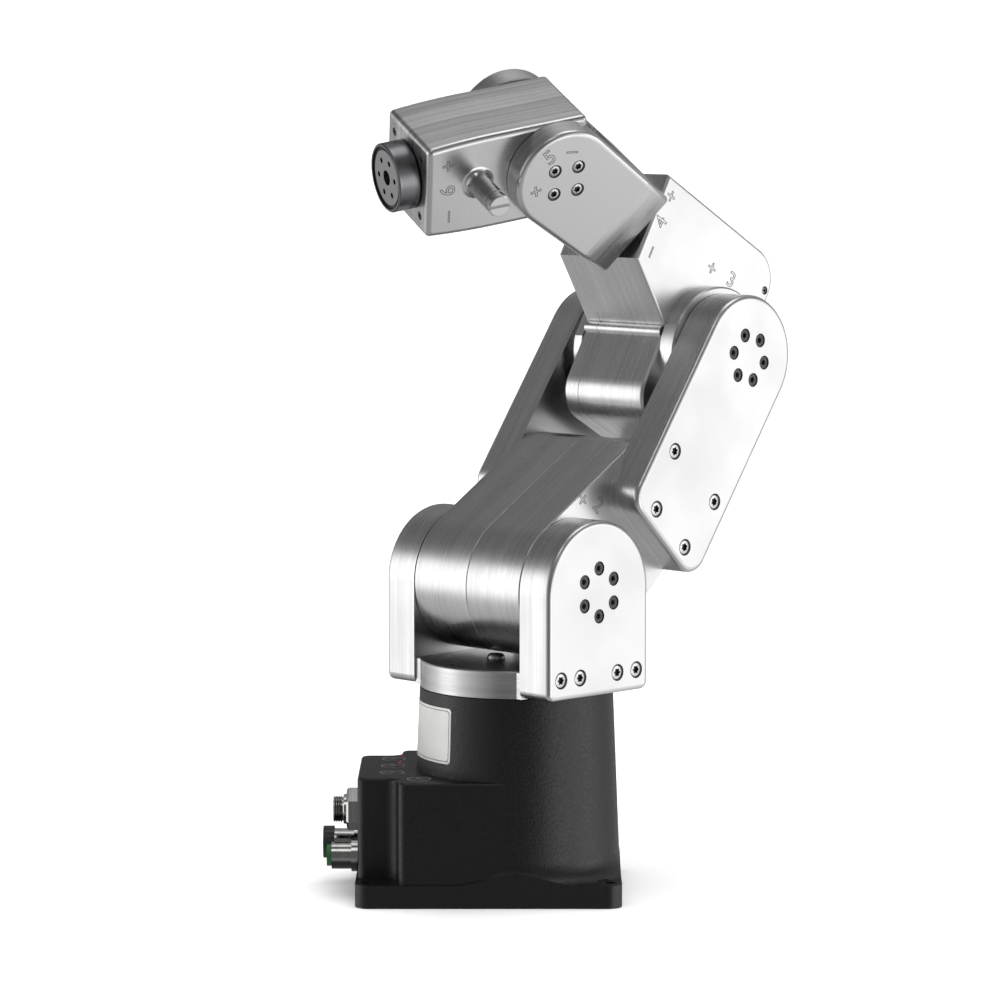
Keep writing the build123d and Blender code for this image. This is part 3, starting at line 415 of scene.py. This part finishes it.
# Near-black material set into gaps, grooves and screw sockets: painted shade.
painted_gap_shade = moulded("painted_gap_shade", (0.01, 0.01, 0.01), 0.5)
mark_grey = moulded("mark_grey", (0.08, 0.08, 0.08), 0.45)
print_grey = moulded("print_grey", (0.17, 0.17, 0.17), 0.6)
label_pale = moulded("label_pale", (0.72, 0.72, 0.7), 0.5, 600.0, 0.05)
label_ink = moulded("label_ink", (0.03, 0.03, 0.035), 0.5)

# Radius of the head, radius of the shank and length
plate_screw = 3.7, 1.95, 22
wrist_screw = 3.1, 1.45, 15
small_screw = 1.9, 0.95, 6
ear_side = 49.8
ear_spots = [(x, -35.7) for x in (-23.2, -11.5, 11.5, 23.2)]
arm_side = 49.6
arm_spots = [(x, 1000 * upper_length + z) for x, z in (
    (6.8, -60.8), (-28.3, -59.6), (-2.2, -86.2), (-27.8, -86.2),
)]
yoke_side = 31.5
wrist_circle = 7.88
yoke_spots = [
    (wrist_circle * math.cos(math.radians(90 * i)), wrist_circle * math.sin(math.radians(90 * i)))
    for i in range(4)
]
hand_front, front_spread = 60.3, 13.5
front_spots = [(y, z) for y in (-front_spread, front_spread) for z in (-front_spread, front_spread)]
front_places = [
    hand_frame @ Matrix.Translation(Vector((hand_front, y, z)) * millimetre)
    @ Matrix.Rotation(math.radians(90), 4, "Y")
    for y, z in front_spots
]
forearm_side = 23.9
forearm_spots = [(-20.4, 43)]
ear_places = both_sides(shoulder_frame, ear_side, ear_spots)
arm_places = both_sides(upper_frame, arm_side, arm_spots)
forearm_places = both_sides(elbow_frame, forearm_side, forearm_spots)
yoke_places = both_sides(wrist_frame, yoke_side, yoke_spots)
for node_name, places, (head, shank, length), body in (
    ("shoulder_plate_screws", ear_places, plate_screw, "shoulder"),
    ("arm_plate_screws", arm_places, plate_screw, "upper_arm"),
    ("forearm_side_screws", forearm_places, small_screw, "forearm"),
    ("wrist_stub_screws", yoke_places, wrist_screw, "yoke"),
    ("wrist_box_screws", front_places, small_screw, "wrist"),
):
    countersink_shade_rings(f"{node_name}_rings", places, head, body)
    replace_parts(flat_screws(f"{node_name}_detailed", places, head, shank, length, body), node_name)

# Axis numbers with their plus and minus directions, drawn as fine outlines
box_side = 20.6
cheek_side = 32.1
mark_lift = 0.02
mark_size = 10
axis_marks = [
    ("box_mark", hand_frame, box_side, 90, "wrist", "arm_aluminium",
     [("+", 50.4, 12.3), ("6", 50.6, 0.3), ("\u2013", 50.4, -12.5)]),
    ("forearm_mark", elbow_frame, forearm_side, 90, "forearm", "arm_aluminium",
     [("+", 55.0, 49.8), ("4", 55.4, 37.0), ("\u2013", 55.0, 22.6)]),
    ("elbow_mark", elbow_frame, forearm_side, 0, "forearm", "arm_aluminium",
     [("+", 16.0, 34.6), ("3", 2.0, 36.4)]),
    ("cheek_mark", upper_frame, cheek_side, 0, "upper_arm", "arm_aluminium",
     [("+", 21.1, 32.0), ("2", 12.0, 37.0)]),
]
for name, link_frame, side, turn, body, slot_name, characters in axis_marks:
    for number, (character, x, z) in enumerate(characters, start=1):
        place = side_place(link_frame, x, side + mark_lift, z, turn)
        outlined(f"{name}_{number}", character, place, mark_size, mark_grey, body)
for number, (character, angle, circle) in enumerate(
    (("\u2013", 54, 14), ("5", 12, 15.4), ("+", -54, 14)), start=1
):
    turn = math.radians(angle)
    x, z = circle * math.cos(turn), circle * math.sin(turn)
    place = side_place(wrist_frame, x, yoke_side + mark_lift, z, 90 - angle)
    outlined(f"yoke_mark_{number}", character, place, mark_size, mark_grey, "yoke")

# Power connector with its thread, in place of the plain shell
power_height = 35
thread_start, power_end, thread_pitch = 76, 80, 1
thread_root, thread_crest = 5.15, 5.8
thread_foot, thread_rise, thread_flat = 0.05, 0.45, 0.6
collar_radius, collar_start, collar_end = 6.5, 74.25, 75.6
power_bore, power_core, power_start = 4.7, 5.4, 60.6
power_edge = 0.3
power_place = Matrix.Translation(Vector((0, 0, power_height)) * millimetre)
power_place = power_place @ Matrix.Rotation(math.radians(-90), 4, "Y")
profile = [
    (power_bore, power_start), (power_core, power_start), (power_core, collar_start),
    (collar_radius, collar_start), (collar_radius, collar_end - power_edge),
    (collar_radius - power_edge, collar_end), (thread_root, collar_end),
]
for turn in range(round((power_end - thread_start) / thread_pitch)):
    low = thread_start + turn * thread_pitch
    profile += [
        (thread_root, low + thread_foot), (thread_crest, low + thread_rise),
        (thread_crest, low + thread_flat),
    ]
profile += [(thread_root, power_end), (power_bore, power_end)]
shell = keep(
    "power_connector_threaded", lathe_mesh("power_connector_threaded", profile, [power_place]),
    Matrix(), nickel, "base",
)
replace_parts(shell, "power_connector_shell")

# Air port post with its flared foot, and a near-black ring in the groove under the slotted plug:
# painted shade in the groove
post_x, post_z, post_length, post_radius, post_bore = 36.8, 1.3, 17, 5, 3.4
flare_reach, flare_height, flare_steps = 2.6, 4.2, 10
post_edge = 0.3
port_shade_inner, port_shade_outer = post_radius - 0.7, post_radius - 0.1
port_shade_round, port_shade_height = 0.05, 0.5
post_place = side_place(hand_frame, post_x, box_side, post_z)
profile = [(post_bore, 0)]
for step in range(flare_steps + 1):
    turn = math.pi / 2 * step / flare_steps
    profile.append(
        (post_radius + flare_reach * (1 - math.sin(turn)), flare_height * (1 - math.cos(turn)))
    )
profile += [
    (post_radius, post_length - post_edge), (post_radius - post_edge, post_length),
    (post_bore, post_length),
]
post = keep(
    "tool_port_post_flared", lathe_mesh("tool_port_post_flared", profile, [post_place]), Matrix(),
    post_metal, "wrist",
)
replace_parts(post, "tool_port_post")
# Near-black ring standing in the groove gap: painted shade.
profile = [
    (port_shade_inner, post_length), (port_shade_outer, post_length + port_shade_round),
    (port_shade_outer, post_length + port_shade_height - port_shade_round), (port_shade_inner, post_length + port_shade_height),
]
keep(
    "port_groove_shade", lathe_mesh("port_groove_shade", profile, [post_place]), Matrix(), painted_gap_shade, "wrist",
)

# Near-black ring in the groove round the face plate: painted shade in the groove
groove_inner, groove_outer, groove_floor, groove_shade_depth = 12.05, 13.65, -1.0, 0.4
tool_place = tool_frame @ Matrix.Rotation(math.radians(90), 4, "Y")
profile = [
    (groove_inner, groove_floor), (groove_outer, groove_floor),
    (groove_outer, groove_floor - groove_shade_depth), (groove_inner, groove_floor - groove_shade_depth),
]
keep(
    "face_plate_groove_shade", lathe_mesh("face_plate_groove_shade", profile[::-1], [tool_place]), Matrix(), painted_gap_shade,
    "tool",
)

# Printed rings round the buttons and a short bar on each
box_top = 53.8
button_proud = 0.3
bar_size = 6
print_inner, print_outer, print_height = 4.65, 5.15, 0.04
button_spots = [(-54, 19.5), (-54, 2), (-54, -15.5), (-42, -31.5)]
ring_places = [
    Matrix.Translation(Vector((x, y, box_top)) * millimetre) for x, y in button_spots
]
profile = [
    (print_inner, 0.0), (print_outer, 0.0), (print_outer, print_height),
    (print_inner, print_height),
]
keep(
    "button_prints", lathe_mesh("button_prints", profile, ring_places), Matrix(), print_grey,
    "base",
)
for number, (x, y) in enumerate(button_spots, start=1):
    place = Matrix.Translation(Vector((x, y, box_top + button_proud)) * millimetre)
    outlined(
        f"button_bar_{number}", "-", place, bar_size, print_grey, f"button_{number}",
    )

# Blank label on the tower
tower_foot, tower_foot_radius, tower_taper = 9.9, 45.3, 0.04015
label_low, label_high = 60.0, 84.0
label_start, label_end = -188.0, -131.5
label_corner = 1.6
label_lift = 0.07
border_outer, border_inner, border_thickness = 1.0, 1.25, 0.03
border_growth = 1.0016


def label_band(inset):
    """Rows of points over the label, drawn in by an inset, each row from one side to the other."""
    steps, rows, corner = 28, 7, label_corner
    low, high = label_low + inset, label_high - inset
    bends = [corner * (1 - math.cos(math.pi / 2 * i / rows)) for i in range(rows + 1)]
    heights = [low + b for b in bends] + [high - b for b in reversed(bends)]
    grid = []
    for height in heights:
        near = min(height - low, high - height, corner)
        cut = corner - math.sqrt(max(corner**2 - (corner - near) ** 2, 0))
        radius = tower_foot_radius - tower_taper * (height - tower_foot) + label_lift
        margin = math.degrees((inset + cut) / radius)
        row = []
        for step in range(steps + 1):
            share = step / steps
            angle = math.radians(
                (label_start + margin) * (1 - share) + (label_end - margin) * share
            )
            row.append(
                Vector((radius * math.cos(angle), radius * math.sin(angle), height)) * millimetre
            )
        grid.append(row)
    return grid


def label_sheet(name, grid, material):
    """A sheet through rows of points."""
    wide = len(grid[0])
    points = [spot for row in grid for spot in row]
    faces = [
        (r * wide + c, r * wide + c + 1, (r + 1) * wide + c + 1, (r + 1) * wide + c)
        for r in range(len(grid) - 1)
        for c in range(wide - 1)
    ]
    mesh = bpy.data.meshes.new(name)
    mesh.from_pydata(points, [], faces)
    mesh.update()
    mesh.shade_smooth()
    sheet = keep(name, mesh, Matrix(), material, "base")
    thick = sheet.modifiers.new("thickness", "SOLIDIFY")
    thick.thickness = label_lift * millimetre
    thick.offset = 0


def rim(grid):
    """The outline of rows of points, once round."""
    left = [row[0] for row in grid]
    right = [row[-1] for row in grid]
    return grid[0] + right[1:-1] + grid[-1][::-1] + left[1:-1][::-1]


label_sheet("blank_label", label_band(0), label_pale)
outer_line, inner_line = rim(label_band(border_outer)), rim(label_band(border_inner))
count = len(outer_line)
line_mesh = bpy.data.meshes.new("label_border")
raised = [spot * border_growth for spot in outer_line + inner_line]
line_mesh.from_pydata(
    [Vector((a.x, a.y, b.z)) for a, b in zip(raised, outer_line + inner_line)], [],
    [(i, (i + 1) % count, count + (i + 1) % count, count + i) for i in range(count)],
)
border = keep("label_border", line_mesh, Matrix(), label_ink, "base")
thick = border.modifiers.new("thickness", "SOLIDIFY")
thick.thickness = border_thickness * millimetre


# Studio
def studio_world():
    """Dim even room with soft patches of light round the arm."""
    world = bpy.data.worlds.new("studio")
    bpy.context.scene.world = world
    world.use_nodes = True
    tree = world.node_tree
    background = tree.nodes["Background"]
    background.inputs["Color"].default_value = (1, 1, 1, 1)
    direction = tree.nodes.new("ShaderNodeTexCoord").outputs["Generated"]

    def lobe(centre, inner, outer, strength):
        """Soft patch of light round a direction, full at one cosine and gone at another."""
        dot = tree.nodes.new("ShaderNodeVectorMath")
        dot.operation = "DOT_PRODUCT"
        dot.inputs[1].default_value = Vector(centre).normalized()
        tree.links.new(direction, dot.inputs[0])
        ramp = tree.nodes.new("ShaderNodeMapRange")
        ramp.interpolation_type = "SMOOTHSTEP"
        ramp.inputs["From Min"].default_value = outer
        ramp.inputs["From Max"].default_value = inner
        ramp.inputs["To Max"].default_value = strength
        tree.links.new(dot.outputs["Value"], ramp.inputs["Value"])
        return ramp.outputs["Result"]

    def total(values):
        """The sum of the patches."""
        result = values[0]
        for value in values[1:]:
            add = tree.nodes.new("ShaderNodeMath")
            add.operation = "ADD"
            tree.links.new(result, add.inputs[0])
            tree.links.new(value, add.inputs[1])
            result = add.outputs[0]
        return result

    lights = [
        lobe((1, -0.1, 0.12), 0.995, 0.92, 1.5),
        lobe((1, -0.3, -0.1), 0.9, 0.6, 0.55),
        lobe((-1, 0.02, 0.07), 0.98, 0.92, 1.3),
        lobe((-1, 0.08, -0.2), 0.95, 0.65, 0.45),
        lobe((-0.7, 0.7, -0.1), 0.95, 0.75, 0.22),
        lobe((-0.85, -0.5, 0), 0.97, 0.8, 0.3),
        lobe((0.7, 0.6, -0.3), 0.9, 0.5, 0.3),
        lobe((0.2, 0.5, 0.85), 0.97, 0.8, 0.3),
        lobe((0.22, 0.1, 0.95), 0.985, 0.93, 1.8),
        lobe((0.75, -0.6, -0.25), 0.985, 0.93, 1.3),
        lobe((0.3, -0.2, -1), 0.8, 0.3, 0.35),
        lobe((0, -0.59, 0.81), 0.997, 0.97, 1.6),
        lobe((0, 0, 1), -1.0, -1.1, 0.17),  # reaches every direction alike
    ]
    tree.links.new(total(lights), background.inputs["Strength"])


def soft_sun(name, strength, spread_angle):
    """Broad light from above for the floor and the painted parts."""
    lamp = bpy.data.lights.new(name, "SUN")
    lamp.energy = strength
    lamp.angle = spread_angle
    item = bpy.data.objects.new(name, lamp)
    bpy.context.scene.collection.objects.link(item)
    item.visible_glossy = False


def floor_sheet():
    """Wide pale floor just under the part."""
    half, gap = 60, 0.0001
    corners = [(-half, -half, 0), (half, -half, 0), (half, half, 0), (-half, half, 0)]
    mesh = bpy.data.meshes.new("floor")
    mesh.from_pydata(corners, [], [(0, 1, 2, 3)])
    floor = bpy.data.objects.new("floor", mesh)
    bpy.context.scene.collection.objects.link(floor)
    floor.location.z = cad_low[2] - gap
    material, tree, shader = new_material("floor_paper")
    place = tree.nodes.new("ShaderNodeTexCoord").outputs["Object"]
    cloud = noise(tree, place, 3, 2)
    tree.links.new(
        tint(tree, spread(tree, cloud, 0, 1), (0.9, 0.9, 0.9), (0.92, 0.92, 0.92)),
        shader.inputs["Base Color"],
    )
    shader.inputs["Roughness"].default_value = 0.9
    mesh.materials.append(material)
    floor.visible_glossy = False
    floor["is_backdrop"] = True


def backdrop():
    """Pale wall all round, far off, seen only by the camera."""
    sides, radius, foot, height = 48, 58, -1, 40
    points, faces = [], []
    for side in range(sides):
        turn = 2 * math.pi * side / sides
        x, y = radius * math.cos(turn), radius * math.sin(turn)
        points += [(x, y, foot), (x, y, height)]
        there = (side + 1) % sides
        faces.append((2 * side, 2 * side + 1, 2 * there + 1, 2 * there))
    mesh = bpy.data.meshes.new("backdrop")
    mesh.from_pydata(points, [], faces)
    wall = bpy.data.objects.new("backdrop", mesh)
    bpy.context.scene.collection.objects.link(wall)
    material, _, shader = new_material("backdrop_paper")
    shader.inputs["Emission Color"].default_value = (1, 1, 1, 1)
    shader.inputs["Emission Strength"].default_value = 1
    shader.inputs["Base Color"].default_value = (0, 0, 0, 1)
    mesh.materials.append(material)
    wall.visible_diffuse = False
    wall.visible_glossy = False
    wall.visible_shadow = False
    wall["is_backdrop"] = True


studio_world()
floor_sheet()
backdrop()
soft_sun("overhead", 3.4, math.radians(100))

camera_data = bpy.data.cameras.new("camera")
camera_data.sensor_width = sensor_width
camera_data.lens = focal_pixels * sensor_width / photo_width
camera = bpy.data.objects.new("camera", camera_data)
bpy.context.scene.collection.objects.link(camera)
camera.location = camera_place
camera.rotation_euler = (camera_tilt, 0, 0)
bpy.context.scene.camera = camera
bpy.context.scene.view_settings.view_transform = "Standard"

low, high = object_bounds()
